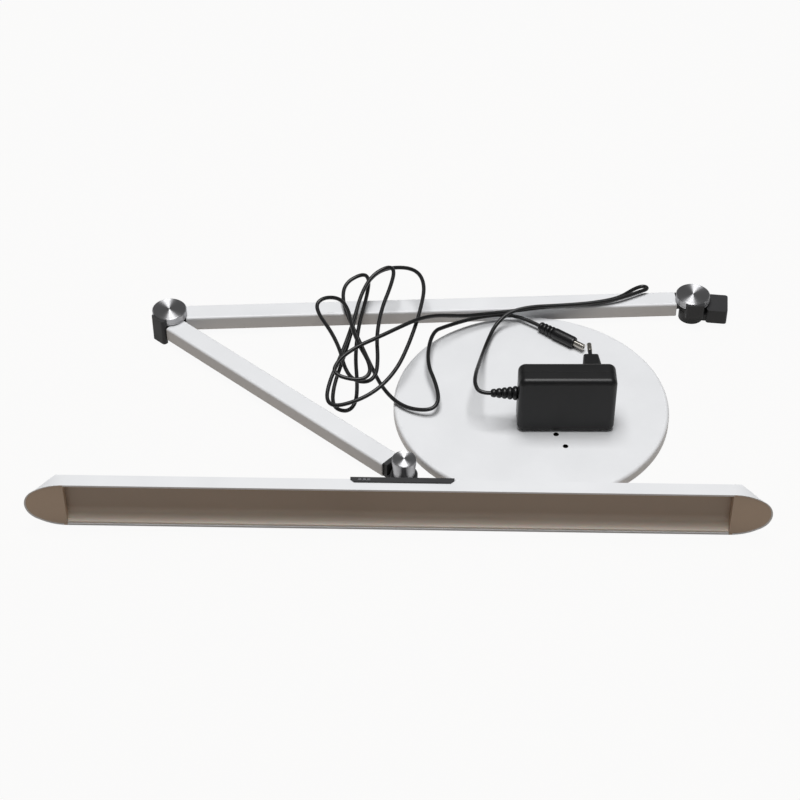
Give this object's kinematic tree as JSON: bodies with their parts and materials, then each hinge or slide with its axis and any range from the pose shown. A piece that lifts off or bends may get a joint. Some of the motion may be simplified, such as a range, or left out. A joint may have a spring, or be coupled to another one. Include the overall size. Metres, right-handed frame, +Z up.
{
  "type": "led desk lamp",
  "caption": "Desk lamp taken off its round base and laid flat: folding square arm, long light bar on a hinge, plug-in adaptor and loose cord.",
  "frame": {"origin": "middle of the round base's underside, on the table", "axes": "+Z up from the table, +X to the right along the light bar as seen from its lit side, +Y away from the lit side"},
  "size_m": [0.5839, 0.2968, 0.065],
  "materials": {
    "white_powder_coat_steel": "satin powder coat",
    "white_powder_coat_aluminium": "satin white powder coat",
    "white_moulded_plastic": "fine moulded texture",
    "dark_rubber": "matt",
    "charcoal_nylon": "spark-eroded mould texture",
    "turned_aluminium": "fine turned rings",
    "zinc_plated_steel": "zinc plated",
    "friction_washer_plastic": "natural",
    "grey_button_plastic": "moulded",
    "opal_plastic": "opal, fine matt",
    "circuit_board": "solder mask",
    "transformer_tape": "polyester tape",
    "black_abs": "moulded, fine texture",
    "black_pvc": "extruded satin",
    "nickel_plated_brass": "nickel plated"
  },
  "bodies": {
    "base_and_lower_arm": {"base_plate": "white_powder_coat_steel", "base_pad": "dark_rubber", "lower_arm_tube": "white_powder_coat_aluminium", "lower_arm_wire": "black_pvc", "lower_arm_elbow_fitting": "charcoal_nylon", "lower_arm_foot_fitting": "charcoal_nylon", "elbow_friction_washer": "friction_washer_plastic", "foot_friction_washer": "friction_washer_plastic", "foot_bolt": "zinc_plated_steel", "foot_nut": "zinc_plated_steel", "foot_cap": "turned_aluminium", "foot_cap_ring": "charcoal_nylon", "adaptor_front_shell": "black_abs", "adaptor_back_shell": "black_abs", "plug_insert": "black_abs", "plug_pins": "nickel_plated_brass", "adaptor_board": "circuit_board", "adaptor_transformer": "transformer_tape", "adaptor_relief": "black_pvc", "dc_plug_handle": "black_pvc", "dc_plug_barrel": "nickel_plated_brass", "cord_hank": "black_pvc", "cord_lead_adaptor": "black_pvc", "cord_lead_plug": "black_pvc"},
    "upper_arm": {"upper_arm_tube": "white_powder_coat_aluminium", "upper_arm_wire": "black_pvc", "upper_arm_elbow_fitting": "charcoal_nylon", "upper_arm_head_fitting": "charcoal_nylon", "elbow_bolt": "zinc_plated_steel", "elbow_nut": "zinc_plated_steel", "elbow_cap": "turned_aluminium", "elbow_cap_ring": "charcoal_nylon", "head_friction_washer": "friction_washer_plastic"},
    "head": {"head_mount": "charcoal_nylon", "head_knob": "turned_aluminium", "head_bolt": "zinc_plated_steel", "head_nut": "zinc_plated_steel", "mount_screws": "zinc_plated_steel", "head_housing": "white_powder_coat_aluminium", "diffuser": "opal_plastic", "led_strip": "circuit_board", "control_board": "circuit_board", "left_end_cap": "white_moulded_plastic", "right_end_cap": "white_moulded_plastic"},
    "foot_bracket": {"foot_bracket": "charcoal_nylon", "dc_jack": "black_abs"},
    "left_button": {"left_button": "grey_button_plastic"},
    "middle_button": {"middle_button": "grey_button_plastic"},
    "right_button": {"right_button": "grey_button_plastic"}
  },
  "joints": [
    {"name": "elbow_hinge", "type": "hinge", "parent": "base_and_lower_arm", "child": "upper_arm", "pos_m": [-0.3105, 0.106, 0.0106], "axis": [0, 0, -1], "range_deg": [0, 135]},
    {"name": "head_hinge", "type": "hinge", "parent": "upper_arm", "child": "head", "pos_m": [-0.10637, -0.08717, 0.0063], "axis": [0, 0, -1], "range_deg": [-5, 38]},
    {"name": "foot_hinge", "type": "hinge", "parent": "base_and_lower_arm", "child": "foot_bracket", "pos_m": [0.14793, 0.12682, 0.0106], "axis": [0, 0, 1], "range_deg": [-12, 90]},
    {"name": "left_button_press", "type": "slide", "parent": "head", "child": "left_button", "axis": [0, 0, -1], "range_m": [0, 0.0004], "stiffness_N_per_m": 2500, "springref_m": -0.0004},
    {"name": "middle_button_press", "type": "slide", "parent": "head", "child": "middle_button", "axis": [0, 0, -1], "range_m": [0, 0.0004], "stiffness_N_per_m": 2500, "springref_m": -0.0004},
    {"name": "right_button_press", "type": "slide", "parent": "head", "child": "right_button", "axis": [0, 0, -1], "range_m": [0, 0.0004], "stiffness_N_per_m": 2500, "springref_m": -0.0004}
  ]
}
